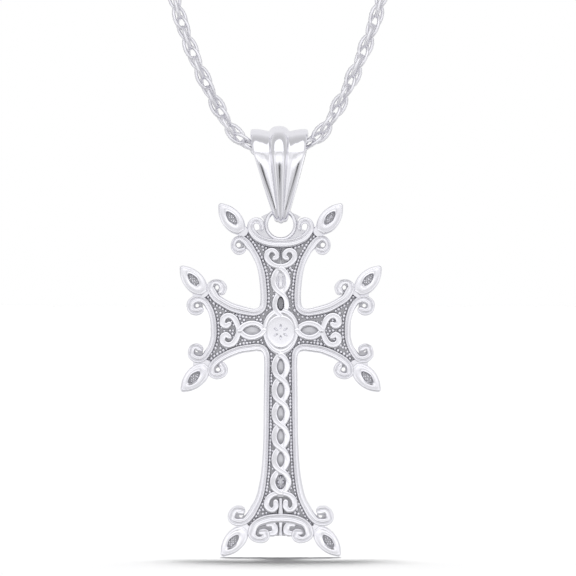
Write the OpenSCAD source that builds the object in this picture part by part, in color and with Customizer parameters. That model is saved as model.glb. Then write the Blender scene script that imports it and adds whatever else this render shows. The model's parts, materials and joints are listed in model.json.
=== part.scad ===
// Necklace with a pierced cross pendant, in millimetres.
// The chain lies over the back of the neck at the origin and the cross hangs in front, facing -Y.

/* [Chain] */
// Thickness of the chain
chain_d = 1.6; // [1.2:0.1:1.8]
// Flat sides of the chain's tube
chain_sides = 8; // [6:1:12]

/* [Clasp] */
// Ring of the clasp, across its wire's centre line
clasp_ring_d = 5.6; // [4.5:0.1:7]
// Wire of the clasp's ring
clasp_wire_d = 1.1; // [0.9:0.1:1.4]
// Eye at each side of the clasp, across its wire's centre line
clasp_eye_d = 1.7; // [1.5:0.1:2]

/* [Bail] */
// Outer radius of the bail's top, over a side lobe
bail_top_r = 2.3; // [2.1:0.05:2.5]
// How far the middle lobe stands over the side lobes
bail_lobe_h = 0.35; // [0.1:0.05:0.5]
// Radius of the bail's inside at the top
bail_bore_r = 1.6; // [1.55:0.01:1.65]
// Half of the bail's width at the top
bail_top_w = 2.9; // [2.5:0.05:3.2]
// Half of the middle lobe's width at the top
bail_lobe_w = 0.95; // [0.7:0.05:1.1]
// Half of the bail's width at the chain
bail_mid_w = 2.63; // [2.4:0.01:2.8]
// Outer radius of the bail's lower bend
bail_low_r = 1.35; // [1.2:0.05:1.45]
// Radius of the inside of the lower bend
bail_seat_r = 0.62; // [0.55:0.01:0.7]
// Turn of the bail to its right as it hangs
bail_turn = -4; // [-6:1:0]

/* [Cross] */
// Thickness of the casting at the rims
cross_t = 1.6; // [1.2:0.1:2]
// Depth of the sunk ground under the rims
ground_depth = 0.65; // [0.4:0.05:0.8]
// Height of the boss over the rims
boss_h = 0.3; // [0.1:0.05:0.5]
// Thickness of the plate round the eye
eye_t = 0.6; // [0.5:0.05:0.7]
// Radius of the eye
eye_r = 1.27; // [1.25:0.01:1.3]
// Thickness of the eye's top bar
eye_bar_d = 0.48; // [0.4:0.02:0.5]
// Half of a leaf finial's width at its widest
leaf_w = 1; // [0.8:0.05:1.1]

/* [Hidden] */
$fn = 32;
gap = 0.12;
// Steps between two rows of a rim's table
curve_steps = 2;
// How much the outline is grown and the sunk parts are shrunk, to join what only touches
weld = 0.02;
// More than the width of the whole bail
past_bail = 9;

// Lowest point of the chain's centre line, which is the bail's swing axis
hang = [0, -120, -165];
// Lower bend's centre under the swing axis
bail_low_z = -5.8;
// Inside bend's centre under the swing axis
bail_seat_z = -5.52;
// Tip of the bail in front view, and the share of its width that the middle lobe has
bail_tip_r = 0.8;
bail_tip_z = -6.35;
bail_lobe_tip = 0.7;
// Middle of the cross's arms under the swing axis
arms_z = -17.8;
// Eye's centre over the middle of the arms
eye_z = 10.58;
// How far the eye's round bar stands into the eye
bar_proud = 0.01;
// Radius of the eye's bar and its centre, which is the cross's swing axis
eye_ring_r = eye_r + eye_bar_d / 2 - bar_proud;
bar_z = arms_z + eye_z + eye_ring_r;

// Half of the chain's route, from its lowest point to the clasp
route_half = [
  [0, -120, -165], [-1.5, -120, -164.9], [-2.9, -120, -164.5], [-3.9, -120, -163.6],
  [-4.7, -120, -162.4], [-6, -120, -159.9], [-7.4, -120, -157.3], [-8.7, -119.8, -154.6],
  [-9.8, -119.5, -151.5], [-10.7, -119.1, -148.3], [-13, -117.8, -140], [-15.4, -116, -131.5],
  [-17.9, -113.8, -123], [-20.5, -111.2, -114.5], [-23.2, -108, -106], [-26.1, -104.2, -97.6],
  [-29.1, -99.8, -89.4], [-32.2, -94.6, -81.5], [-35.5, -88.8, -74], [-38.8, -82.2, -67],
  [-42, -75, -60.5], [-45, -67, -54.5], [-47.6, -58.5, -49], [-49.5, -49.5, -43.5],
  [-50.2, -40, -38.2], [-49.2, -31, -32.8], [-46.6, -22.8, -27.2], [-42.4, -15.8, -21.6],
  [-37, -10, -16], [-30.5, -5.6, -10.8], [-23.2, -2.6, -6.4], [-15.2, -0.8, -2.8],
  [-8.7, -0.1, -0.7], [-5.4, 0, 0]
];
// Square to the plane that the loop roughly lies in
loop_normal = [0, -0.81, 0.59];

// Bands of the cross's left half, as rows of across, up and half width from the middle of the arms
crest = [
  [0.3, 8.65, 0.34], [-1.05, 8.7, 0.34], [-1.95, 8.95, 0.33], [-2.45, 9.3, 0.31], [-2.85, 9.8, 0.29],
  [-3, 10.25, 0.28], [-2.95, 10.65, 0.28], [-2.75, 10.92, 0.28], [-2.45, 11.02, 0.28],
  [-2.1, 10.92, 0.26], [-1.83, 10.6, 0.24], [-1.83, 10.15, 0.2]
];
top_rim = [
  [-1.71, 1.6, 0.32], [-1.71, 3.05, 0.32], [-1.74, 4.05, 0.32], [-1.9, 5.55, 0.32],
  [-2.12, 6.55, 0.32], [-2.4, 7.25, 0.34], [-2.83, 8, 0.34], [-3.17, 8.5, 0.34],
  [-3.57, 8.95, 0.32], [-4.17, 9.25, 0.3], [-4.67, 8.95, 0.25], [-4.8, 8.45, 0.23],
  [-4.62, 7.93, 0.27], [-4.15, 7.75, 0.33], [-3.72, 7.92, 0.28]
];
arm_top_rim = [
  [-1.7, 1.9, 0.33], [-2.3, 1.86, 0.35], [-3.1, 1.92, 0.38], [-4.1, 2.1, 0.42], [-4.9, 2.35, 0.42],
  [-5.7, 2.75, 0.43], [-6.45, 3.25, 0.43], [-6.9, 3.8, 0.38], [-7.1, 4.35, 0.3],
  [-6.95, 4.75, 0.23], [-6.55, 4.93, 0.21], [-6, 4.8, 0.26], [-5.67, 4.35, 0.32],
  [-5.8, 3.85, 0.33]
];
arm_end_rim = [
  [-8.02, -1.76, 0.28], [-8.35, -1.56, 0.27], [-8.82, -1.65, 0.26], [-9.03, -2.11, 0.26],
  [-8.92, -2.62, 0.3], [-8.37, -2.95, 0.33], [-7.77, -2.78, 0.35], [-7.3, -2.21, 0.34],
  [-6.94, -1.56, 0.32], [-6.72, -0.76, 0.32], [-6.68, 0.04, 0.32], [-6.72, 0.84, 0.32],
  [-6.85, 1.54, 0.32], [-7.12, 2.24, 0.33], [-7.59, 2.89, 0.34], [-8.27, 3.2, 0.35],
  [-8.98, 2.87, 0.34], [-9.07, 2.34, 0.34], [-8.82, 1.9, 0.34], [-8.32, 1.8, 0.33],
  [-7.97, 1.98, 0.29]
];
arm_low_rim = [
  [-1.5, -1.65, 0.38], [-2.6, -1.68, 0.38], [-3.1, -1.77, 0.37], [-4.1, -1.93, 0.37],
  [-5.05, -2.28, 0.38], [-5.8, -2.66, 0.4], [-6.45, -3.1, 0.4], [-6.87, -3.58, 0.37],
  [-7, -4.04, 0.34], [-6.85, -4.45, 0.3], [-6.32, -4.62, 0.29], [-5.74, -4.36, 0.31],
  [-5.57, -3.86, 0.33], [-5.78, -3.48, 0.31]
];
shaft_rim = [
  [-1.4, -1.7, 0.27], [-1.4, -4, 0.27], [-1.43, -6, 0.27], [-1.5, -11, 0.26],
  [-1.66, -14, 0.29], [-1.96, -16, 0.33], [-2.24, -17, 0.34], [-2.65, -17.8, 0.37],
  [-3.07, -18.5, 0.38], [-3.59, -19.02, 0.38], [-4.22, -19.22, 0.34], [-4.82, -19.05, 0.33],
  [-4.98, -18.55, 0.34], [-4.8, -18.1, 0.32], [-4.4, -17.86, 0.34], [-3.95, -17.95, 0.4]
];
arch = [
  [0.3, -18.78, 0.42], [-1.05, -18.83, 0.4], [-1.82, -19.03, 0.4], [-2.35, -19.25, 0.38],
  [-2.77, -19.6, 0.37], [-2.94, -20.08, 0.38], [-2.84, -20.6, 0.36], [-2.37, -20.92, 0.31],
  [-1.84, -20.9, 0.31], [-1.54, -20.56, 0.28], [-1.48, -20.1, 0.26], [-1.75, -19.9, 0.24],
  [-2.03, -20.05, 0.22]
];
small_curl = [
  [-1.3, -19.35, 0.2], [-0.85, -19.4, 0.24], [-0.6, -19.75, 0.25], [-0.7, -20.2, 0.25],
  [-1.05, -20.32, 0.22]
];
omega = [
  [0.2, -16.2, 0.25], [-0.77, -16.32, 0.25], [-1.2, -16.7, 0.25], [-1.39, -17.25, 0.28],
  [-1.27, -17.78, 0.28], [-0.87, -17.93, 0.27], [-0.56, -17.6, 0.25], [-0.57, -17.15, 0.23]
];
lyre = [
  [0.2, 6.4, 0.2], [-0.47, 6.46, 0.21], [-0.92, 6.74, 0.22], [-1.27, 7.09, 0.24],
  [-1.38, 7.49, 0.24], [-1.24, 7.86, 0.24], [-0.87, 8.04, 0.22], [-0.5, 7.87, 0.24],
  [-0.4, 7.51, 0.25], [-0.54, 7.21, 0.26]
];
arm_lyre = [
  [-4.17, -0.1, 0.25], [-4.29, 0.54, 0.25], [-4.59, 1.04, 0.25], [-5.07, 1.35, 0.26],
  [-5.52, 1.29, 0.26], [-5.77, 0.94, 0.25], [-5.69, 0.54, 0.25], [-5.37, 0.4, 0.25]
];

// Ground of the cross's left half, along the middle of the rims
ground_half = [
  [0, 8.66], [-1.95, 8.95], [-2.85, 9.8], [-3.75, 9.8], [-3.5, 8.9], [-3.17, 8.5], [-2.4, 7.25],
  [-1.9, 5.55], [-1.74, 4.05], [-1.71, 1.9], [-3.1, 1.92], [-4.1, 2.1], [-4.9, 2.35],
  [-5.7, 2.75], [-6.45, 3.25], [-6.9, 3.8], [-7.6, 3.4], [-7.12, 2.24], [-6.85, 1.54],
  [-6.68, 0], [-6.94, -1.56], [-7.3, -2.21], [-7.6, -3.1], [-6.87, -3.58], [-6.45, -3.1],
  [-5.05, -2.28], [-4.1, -1.93], [-3.1, -1.77], [-1.4, -1.7], [-1.4, -4], [-1.5, -11],
  [-1.66, -14], [-1.96, -16], [-2.65, -17.8], [-3.07, -18.5], [-3.5, -19.1],
  [-3.2, -19.6], [-2.5, -19.3], [-1.82, -19.03], [0, -18.78]
];
// Plate behind the scrolls under the arch, left half
foot_half = [
  [0, -18.8], [-2.3, -19.2], [-2.75, -20], [-2.65, -20.6], [-2, -20.85], [-1.5, -20.62], [0, -20.52]
];
// Thin plate round the eye, left half
eye_half = [[0, 8.7], [-1.5, 8.8], [-2.3, 9.3], [-2.2, 10.9], [-1.95, 11.4], [-1.1, 11.65], [-0.9, 11.45], [0, 11.45]];

// Tip of each leaf and its direction to the plate, as across, up and degrees from +X
leaves = [
  [-6.14, 12.68, -52], [-10.02, 6.44, -49], [-9.94, -6.09, 45], [-5.94, -22.54, 49]
];
// How far along a leaf from its tip, and the share of its full half width there
leaf_rows = [
  [0, 0, 0.03], [0.3, 0, 0.34], [0.8, 0, 0.71], [1.5, 0, 0.95], [2.2, 0, 1], [2.8, 0, 0.92],
  [3.3, 0, 0.68], [3.7, 0, 0.35]
];
// Solid corners where a leaf, a scroll and a rim meet, as across, up and radius
webs = [
  [-3.8, 9.9, 0.6], [-7.85, 4, 0.8], [-8.3, 3.55, 0.5], [-7.5, -3.5, 0.65], [-8.3, -3.3, 0.45],
  [-7.35, -4, 0.45], [-3.75, -19.65, 0.6], [-3.3, -19.85, 0.45]
];
// Rounded inner corners of the arms, as across, up and how far the rounding reaches
corners = [[-2.03, 2.2, 0.6], [-1.66, -2.03, -0.6]];
// Recess in a leaf: how far in from the tip it lies, its half length and half width
recess_in = 1.87;
recess_l = 0.9;
recess_w = 0.4;
// Open ovals of the guilloche and the arms, as across, up, half width and half height
ovals = [
  [0, 5.02, 0.49, 0.95], [0, 2.66, 0.34, 0.69], [-2.9, 0, 0.86, 0.44], [2.9, 0, 0.86, 0.44],
  [0, -3.64, 0.33, 0.74], [0, -5.97, 0.33, 0.74], [0, -8.29, 0.33, 0.74],
  [0, -10.6, 0.33, 0.74], [0, -12.83, 0.33, 0.74], [0, -15.19, 0.5, 0.92]
];
// Metal round an open oval
oval_rim = 0.5;
// Stem on the middle line, across and up
stem = [0.26, 45];
// Outer and inner egg of the boss: half width, half height and how high its middle is
boss = [1.85, 2.35, -0.05];
boss_egg = [1.44, 1.75, -0.15];

function unit(v) = v / norm(v);

function spline_at(a, b, c, d, t) =
  0.5 * (2 * b + (c - a) * t + (2 * a - 5 * b + 4 * c - d) * t * t + (3 * b - a - 3 * c + d) * t * t * t);

// Smooth curve through the rows, with some steps between each two
function smooth(rows, steps) = let (last = len(rows) - 1) [
  for (i = [0 : last - 1], k = [0 : steps - 1])
    spline_at(rows[max(i - 1, 0)], rows[i], rows[i + 1], rows[min(i + 2, last)], k / steps),
  rows[last]
];

function along(rows, i) = let (a = rows[max(i - 1, 0)], b = rows[min(i + 1, len(rows) - 1)])
  unit([b.x - a.x, b.y - a.y]);

function edge(rows, side) = [
  for (i = [0 : len(rows) - 1]) let (t = along(rows, i))
    [rows[i].x - side * t.y * rows[i].z, rows[i].y + side * t.x * rows[i].z]
];

function backwards(list) = [for (i = [len(list) - 1 : -1 : 0]) list[i]];

function oval(w, h, n = 16) = [for (i = [0 : n - 1]) [w * cos(i * 360 / n), h * sin(i * 360 / n)]];

// Half of the route and its mirror image, from one side of the clasp to the other
route = concat(
  backwards([for (p = route_half) [-p.x, p.y, p.z]]),
  [for (i = [1 : len(route_half) - 1]) route_half[i]]
);

// One ring of points round the chain's route
function tube_ring(i) =
  let (
    t = unit(route[min(i + 1, len(route) - 1)] - route[max(i - 1, 0)]),
    u = unit(cross(t, loop_normal)),
    w = cross(t, u)
  )
  [for (k = [0 : chain_sides - 1])
    route[i] + chain_d / 2 * (u * cos(k * 360 / chain_sides) + w * sin(k * 360 / chain_sides))];

// Flat band along a smooth curve, with round ends
module band(rows, steps = curve_steps) {
  path = smooth(rows, steps);
  polygon(concat(edge(path, 1), backwards(edge(path, -1))));
  for (p = [path[0], path[len(path) - 1]])
    translate([p.x, p.y]) circle(r = p.z, $fn = 10);
}

// Shape on both halves of the cross
module both_sides() {
  children();
  mirror([1, 0]) children();
}

// Pointed oval between two arcs, lying along X
module almond(l, w) {
  r = (l * l + w * w) / (4 * w);
  intersection() {
    translate([0, r - w / 2]) circle(r = r, $fn = 24);
    translate([0, w / 2 - r]) circle(r = r, $fn = 24);
  }
}

// Shape laid on each leaf, from its tip along +X
module on_leaves() {
  for (row = leaves)
    translate([row.x, row.y]) rotate(row.z) children();
}

module leaf_plate() {
  rows = [for (row = leaf_rows) [row.x, row.y, leaf_w * row.z]];
  polygon(concat(edge(rows, 1), backwards(edge(rows, -1))));
}

// Concave rounding in a corner of the outline, above the corner, or below it when the reach is negative
module corner(reach) {
  difference() {
    translate([-abs(reach), min(reach, 0)]) square(abs(reach));
    translate([-abs(reach), reach]) circle(r = abs(reach), $fn = 16);
  }
}

module rims() {
  both_sides() {
    band(crest);
    band(top_rim);
    band(arm_top_rim);
    band(arm_end_rim);
    band(arm_low_rim);
    band(shaft_rim);
    band(arch);
    band(small_curl);
    on_leaves() leaf_plate();
    for (row = webs)
      translate([row.x, row.y]) circle(r = row.z, $fn = 12);
    for (row = corners)
      translate([row.x, row.y]) corner(row.z);
  }
}

module ornament() {
  both_sides() {
    band(omega, 1);
    band(lyre, 1);
    band(arm_lyre, 1);
    mirror([0, 1]) band(arm_lyre, 1);
  }
  for (row = ovals)
    translate([row.x, row.y]) polygon(oval(row[2] + oval_rim, row[3] + oval_rim));
  translate([0, boss[2]]) polygon(oval(boss[0], boss[1], 24));
}

// Whole outline of the casting, without the thin plate round the eye
module outline() {
  rims();
  both_sides() {
    polygon(ground_half);
    polygon(foot_half);
  }
}

// Sunk parts: the ground between rims and ornament, the open ovals and the leaves' recesses
module sunk() {
  difference() {
    both_sides() {
      polygon(ground_half);
      polygon(foot_half);
    }
    rims();
    ornament();
    square(stem, center = true);
  }
  for (row = ovals)
    translate([row.x, row.y]) rotate(row[2] > row[3] ? 0 : 90)
      almond(2 * max(row[2], row[3]), 2 * min(row[2], row[3]));
  both_sides() on_leaves() translate([recess_in, 0]) almond(2 * recess_l, 2 * recess_w);
}

// Stands a drawing up facing -Y, from the back of the casting to the given depth
module stand(back, depth) {
  translate([0, back, 0]) rotate([90, 0, 0]) linear_extrude(depth) children();
}

module cross() {
  color("silver") translate(hang + [0, 0, arms_z]) {
    difference() {
      union() {
        stand(cross_t / 2, cross_t) offset(delta = weld) outline();
        stand(0, cross_t / 2 + boss_h) translate([0, boss_egg[2]])
          polygon(oval(boss_egg[0], boss_egg[1], 24));
        stand(eye_t / 2, eye_t) both_sides() polygon(eye_half);
      }
      stand(ground_depth - cross_t / 2, 2 * ground_depth) offset(delta = -weld) sunk();
      translate([0, 0, eye_z]) rotate([90, 0, 0]) cylinder(r = eye_r, h = 2 * cross_t, center = true);
    }
    translate([0, 0, eye_z]) rotate([90, 0, 0]) rotate_extrude()
      translate([eye_ring_r, 0]) circle(d = eye_bar_d);
  }
}

// Outline round an upper and a lower circle, with straight sides that touch both
module drop_outline(upper_r, lower_r, lower_z) {
  lean = (upper_r - lower_r) / lower_z;
  side = sqrt(1 - lean * lean);
  circle(r = upper_r);
  translate([0, lower_z]) circle(r = lower_r);
  polygon([
    [upper_r * side, upper_r * lean], [-upper_r * side, upper_r * lean],
    [-lower_r * side, lower_z + lower_r * lean], [lower_r * side, lower_z + lower_r * lean]
  ]);
}

// Solid of a side outline, across the whole width
module across(width) {
  rotate([90, 0, 90]) linear_extrude(width, center = true) children();
}

module bail_front(top_w, mid_w, low_w) {
  stand(6, 12) {
    polygon([
      [-top_w, 4], [-top_w, 2.4], [-mid_w, 0], [-low_w, bail_tip_z],
      [low_w, bail_tip_z], [mid_w, 0], [top_w, 2.4], [top_w, 4]
    ]);
    translate([0, bail_tip_z]) circle(r = low_w);
  }
}

// Room for the eye's top bar and the plate beside it, as the cross swings
module bar_room() {
  reach = 1.3;
  rows = [for (x = [-reach : 0.26 : reach + 0.01])
    [eye_bar_d / 2 + gap + eye_ring_r - sqrt(eye_ring_r * eye_ring_r - x * x), x]];
  translate([0, 0, bar_z]) rotate([0, 90, 0]) rotate_extrude()
    polygon(concat([[0, -reach]], rows, [[0, reach]]));
}

module bail() {
  color("gainsboro") translate(hang) difference() {
    rotate([0, 0, bail_turn]) difference() {
      union() {
        intersection() {
          across(past_bail) drop_outline(bail_top_r, bail_low_r - 0.15, bail_low_z + 0.1);
          bail_front(bail_top_w, bail_mid_w, bail_tip_r);
        }
        intersection() {
          across(past_bail) drop_outline(bail_top_r + bail_lobe_h, bail_low_r, bail_low_z);
          bail_front(bail_lobe_w, bail_lobe_w - 0.1, bail_tip_r * bail_lobe_tip);
        }
      }
      across(past_bail + 1) drop_outline(bail_bore_r, bail_seat_r, bail_seat_z);
    }
    bar_room();
  }
}

module chain() {
  count = len(route);
  points = [for (i = [0 : count - 1]) each tube_ring(i)];
  sides = [
    for (i = [0 : count - 2], k = [0 : chain_sides - 1]) let (n = (k + 1) % chain_sides)
      [i * chain_sides + k, (i + 1) * chain_sides + k, (i + 1) * chain_sides + n, i * chain_sides + n]
  ];
  first = [for (k = [0 : chain_sides - 1]) k];
  last = [for (k = [chain_sides - 1 : -1 : 0]) (count - 1) * chain_sides + k];
  color("lightgray") polyhedron(points, concat(sides, [first], [last]));
}

// Plain ring clasp at the back of the neck, with an eye at each side for the chain
module clasp() {
  eye_x = (clasp_ring_d + clasp_wire_d + clasp_eye_d) / 2;
  color("silver") rotate([90, 0, 0]) {
    rotate_extrude() translate([clasp_ring_d / 2, 0]) circle(d = clasp_wire_d);
    for (side = [-1, 1])
      translate([side * eye_x, 0, 0]) rotate_extrude()
        translate([clasp_eye_d / 2, 0]) circle(d = 0.5);
  }
}

chain();
clasp();
bail();
cross();
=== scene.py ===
import json
import math

import bpy
import bmesh
import numpy as np
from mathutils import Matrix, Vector

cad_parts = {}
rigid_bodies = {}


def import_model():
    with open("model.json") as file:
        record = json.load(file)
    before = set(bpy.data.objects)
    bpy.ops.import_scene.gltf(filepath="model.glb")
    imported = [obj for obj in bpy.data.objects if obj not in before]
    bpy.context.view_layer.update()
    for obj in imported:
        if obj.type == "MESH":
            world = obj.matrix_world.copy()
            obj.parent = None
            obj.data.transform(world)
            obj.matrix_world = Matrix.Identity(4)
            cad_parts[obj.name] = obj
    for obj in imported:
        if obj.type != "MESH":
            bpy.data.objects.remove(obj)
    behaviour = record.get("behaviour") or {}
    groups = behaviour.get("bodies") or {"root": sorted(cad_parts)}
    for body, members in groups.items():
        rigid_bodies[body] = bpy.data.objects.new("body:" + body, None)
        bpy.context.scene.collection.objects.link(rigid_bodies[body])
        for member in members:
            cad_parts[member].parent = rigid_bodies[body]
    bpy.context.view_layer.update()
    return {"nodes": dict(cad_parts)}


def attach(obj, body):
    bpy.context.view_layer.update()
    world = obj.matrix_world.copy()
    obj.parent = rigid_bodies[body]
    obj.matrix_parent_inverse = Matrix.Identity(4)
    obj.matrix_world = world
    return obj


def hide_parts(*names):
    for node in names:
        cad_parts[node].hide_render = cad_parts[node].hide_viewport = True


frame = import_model()
mm = 0.001
# where the bail hangs on the chain, and how far the middle of the cross's arms lies under that
hang = Vector((0, -0.120, -0.165))
armsDrop = 17.8
print("frame loaded")

# curves and solids of the cross are in millimetres: across, up, and height over the middle plane


# smooth curve through the rows, cut into even steps of its first columns; the others follow along
def smoothRows(rows, spacing, measured=2, cuts=16):
    rows = np.array(rows, float)
    padded = np.vstack([2 * rows[0] - rows[1], rows, 2 * rows[-1] - rows[-2]])
    t = np.linspace(0, 1, cuts, endpoint=False)[:, None]
    fine = []
    for i in range(len(rows) - 1):
        a, b, c, d = padded[i:i + 4]
        bend = (2 * a - 5 * b + 4 * c - d) * t ** 2 + (3 * b - a - 3 * c + d) * t ** 3
        fine.append(0.5 * (2 * b + (c - a) * t + bend))
    fine = np.vstack(fine + [rows[-1:]])
    steps = np.linalg.norm(np.diff(fine[:, :measured], axis=0), axis=1)
    lengths = np.concatenate([[0], np.cumsum(steps)])
    stations = np.linspace(0, lengths[-1], max(round(lengths[-1] / spacing), 4) + 1)
    return np.column_stack([np.interp(stations, lengths, column) for column in fine.T])


def tangentsOf(points):
    steps = np.gradient(points, axis=0)
    return steps / np.linalg.norm(steps, axis=1)[:, None]


def directionOf(degrees):
    return math.cos(math.radians(degrees)), math.sin(math.radians(degrees))


# quads between closed rings of points, capped at both ends unless the rings close on themselves
def ringFaces(rings, count, closed=False):
    faces = []
    for i in range(rings if closed else rings - 1):
        here, there = i * count, (i + 1) % rings * count
        for k in range(count):
            n = (k + 1) % count
            faces.append((here + k, here + n, there + n, there + k))
    if not closed:
        faces.append(tuple(reversed(range(count))))
        faces.append(tuple(range((rings - 1) * count, rings * count)))
    return faces


# the cross's own drawing space to the shared frame
def onCross(across, up, height):
    return (hang.x + across * mm, hang.y - height * mm, hang.z + (up - armsDrop) * mm)


def makeMesh(name, points, faces):
    mesh = bpy.data.meshes.new(name)
    mesh.from_pydata([tuple(p) for p in points], [], faces)
    build = bmesh.new()
    build.from_mesh(mesh)
    bmesh.ops.recalc_face_normals(build, faces=build.faces)
    build.to_mesh(mesh)
    build.free()
    mesh.shade_smooth()
    return mesh


def makeObject(name, mesh):
    piece = bpy.data.objects.new(name, mesh)
    bpy.context.scene.collection.objects.link(piece)
    return piece


# a number for each point of a mesh, for its finish or for a growth
def setValues(mesh, name, values):
    values = np.array(values, np.float32)
    mesh.attributes.new(name, "FLOAT", "POINT").data.foreach_set("value", values)


crossSizes = {
    "back": -0.8,           # lowest height of the casting
    "rimTop": 0.8,
    "groundTop": 0.12,
    "ornamentTop": 0.7,
    "curlTop": 0.66,
    "leafTop": 0.72,
    "backBevel": 0.07,
    "step": 0.11,           # along a rim between two sections
    "ornamentStep": 0.09,
    "endTurns": (0.5, 0.95, 1.25, 1.48),    # of the sections of a band's round end, in radians
    "endDrop": 0.1,         # of the last of them
    "sharp": 40,            # degrees between faces that meet in an edge
}

# rows of the left half's rims: across, up, half width
upperRim = [
    [-5.87, 3.91, 0.41], [-5.76, 4.35, 0.4], [-6.06, 4.73, 0.34], [-6.52, 4.84, 0.29], [-6.88, 4.7, 0.31],
    [-7.01, 4.35, 0.38], [-6.84, 3.87, 0.46], [-6.45, 3.25, 0.43], [-5.7, 2.75, 0.43], [-4.9, 2.32, 0.45],
    [-4.1, 2.07, 0.45], [-3.3, 1.89, 0.41], [-2.65, 1.81, 0.38], [-2.15, 1.95, 0.37], [-1.8, 2.35, 0.36],
    [-1.69, 3.05, 0.35], [-1.71, 4.05, 0.35], [-1.87, 5.55, 0.35], [-2.12, 6.55, 0.32], [-2.4, 7.25, 0.34],
    [-2.83, 8, 0.34], [-3.12, 8.39, 0.4], [-3.52, 8.89, 0.37], [-4.02, 9.18, 0.33], [-4.49, 9.06, 0.29],
    [-4.71, 8.69, 0.28], [-4.65, 8.24, 0.32], [-4.31, 7.91, 0.36], [-3.92, 7.94, 0.34], [-3.72, 8.06, 0.26],
]
lowerRim = [
    [-5.83, -3.54, 0.38], [-5.65, -3.88, 0.4], [-5.81, -4.32, 0.38], [-6.32, -4.54, 0.36],
    [-6.78, -4.4, 0.37], [-6.92, -4.04, 0.41], [-6.87, -3.58, 0.37], [-6.45, -3.1, 0.4], [-5.8, -2.66, 0.4],
    [-5.05, -2.28, 0.41], [-4.1, -1.93, 0.4], [-3.1, -1.77, 0.4], [-2.4, -1.69, 0.4], [-1.8, -1.83, 0.37],
    [-1.44, -2.3, 0.32], [-1.37, -3, 0.3], [-1.37, -4, 0.3], [-1.4, -6, 0.3], [-1.47, -11, 0.29],
    [-1.63, -14, 0.32], [-1.93, -16, 0.36], [-2.24, -17, 0.37], [-2.65, -17.8, 0.4], [-3.07, -18.5, 0.41],
    [-3.59, -19.02, 0.38], [-4.25, -19.14, 0.41], [-4.77, -18.98, 0.4], [-4.9, -18.55, 0.41],
    [-4.75, -18.16, 0.39], [-4.41, -17.94, 0.41], [-4, -18.01, 0.47],
]
endRim = [
    [-8.03, 2.03, 0.36], [-8.34, 1.88, 0.4], [-8.78, 1.97, 0.41], [-8.99, 2.36, 0.41], [-8.92, 2.82, 0.41],
    [-8.3, 3.12, 0.42], [-7.59, 2.89, 0.34], [-7.12, 2.24, 0.33], [-6.85, 1.54, 0.32], [-6.72, 0.84, 0.32],
    [-6.68, 0.04, 0.32], [-6.72, -0.76, 0.32], [-6.94, -1.56, 0.32], [-7.3, -2.21, 0.34],
    [-7.77, -2.78, 0.35], [-8.39, -2.86, 0.41], [-8.85, -2.56, 0.38], [-8.94, -2.13, 0.34],
    [-8.78, -1.73, 0.34], [-8.37, -1.65, 0.35], [-8.08, -1.82, 0.36],
]
crestHalf = [
    [0, 8.69, 0.44], [-1.05, 8.75, 0.43], [-1.93, 9.02, 0.41], [-2.45, 9.35, 0.41], [-2.84, 9.83, 0.38],
    [-3, 10.28, 0.36], [-2.96, 10.66, 0.33], [-2.74, 10.92, 0.31], [-2.4, 11, 0.31], [-2.07, 10.87, 0.3],
    [-1.88, 10.52, 0.26], [-1.9, 10.15, 0.22],
]
archHalf = [
    [0, -18.75, 0.48], [-1.07, -18.82, 0.49], [-1.82, -19.02, 0.5], [-2.37, -19.28, 0.44],
    [-2.71, -19.66, 0.46], [-2.85, -20.1, 0.47], [-2.76, -20.55, 0.42], [-2.35, -20.85, 0.36],
    [-1.84, -20.86, 0.4], [-1.5, -20.58, 0.44], [-1.54, -20.18, 0.42], [-1.84, -20.14, 0.38],
]
smallCurl = [
    [-1.22, -19.4, 0.28], [-0.77, -19.44, 0.33], [-0.56, -19.82, 0.34], [-0.7, -20.24, 0.34],
    [-1.05, -20.3, 0.3],
]
omegaHalf = [
    [0, -16.29, 0.27], [-0.77, -16.41, 0.29], [-1.25, -16.8, 0.3], [-1.42, -17.32, 0.3],
    [-1.22, -17.82, 0.28], [-0.78, -17.95, 0.28], [-0.5, -17.6, 0.29], [-0.5, -17.12, 0.28],
]
lyreHalf = [
    [0, 6.39, 0.26], [-0.57, 6.49, 0.27], [-1.07, 6.79, 0.29], [-1.38, 7.24, 0.29], [-1.37, 7.69, 0.28],
    [-1.07, 7.97, 0.27], [-0.67, 7.96, 0.25], [-0.39, 7.68, 0.24], [-0.4, 7.36, 0.26], [-0.6, 7.2, 0.27],
]
armLyreHalf = [
    [-4.2, 0, 0.26], [-4.44, 0.84, 0.3], [-4.82, 1.34, 0.32], [-5.32, 1.46, 0.32], [-5.74, 1.19, 0.31],
    [-5.8, 0.69, 0.32], [-5.46, 0.42, 0.31], [-5.14, 0.66, 0.26],
]
# ground plates of the left half, along the middle of the rims
groundHalf = [
    [0, 8.66], [-1.95, 8.95], [-2.85, 9.8], [-3.75, 9.8], [-3.5, 8.9], [-3.17, 8.5], [-2.4, 7.25],
    [-1.9, 5.55], [-1.74, 4.05], [-1.72, 3.05], [-1.83, 2.35], [-2.15, 1.95], [-2.65, 1.84], [-3.3, 1.92],
    [-4.1, 2.1], [-4.9, 2.35], [-5.7, 2.75], [-6.45, 3.25], [-6.9, 3.8], [-7.6, 3.4], [-7.12, 2.24],
    [-6.85, 1.54], [-6.68, 0], [-6.94, -1.56], [-7.3, -2.21], [-7.6, -3.1], [-6.87, -3.58],
    [-6.45, -3.1], [-5.05, -2.28], [-4.1, -1.93], [-3.1, -1.77], [-2.4, -1.69], [-1.8, -1.83],
    [-1.47, -2.3], [-1.4, -4], [-1.5, -11], [-1.66, -14], [-1.96, -16], [-2.65, -17.8],
    [-3.07, -18.5], [-3.5, -19.1], [-3.2, -19.6], [-2.5, -19.3], [-1.82, -19.03], [0, -18.78],
]
footHalf = [
    [0, -18.8], [-2.3, -19.2], [-2.75, -20], [-2.65, -20.6], [-2, -20.85], [-1.5, -20.62], [0, -20.52],
]
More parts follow.
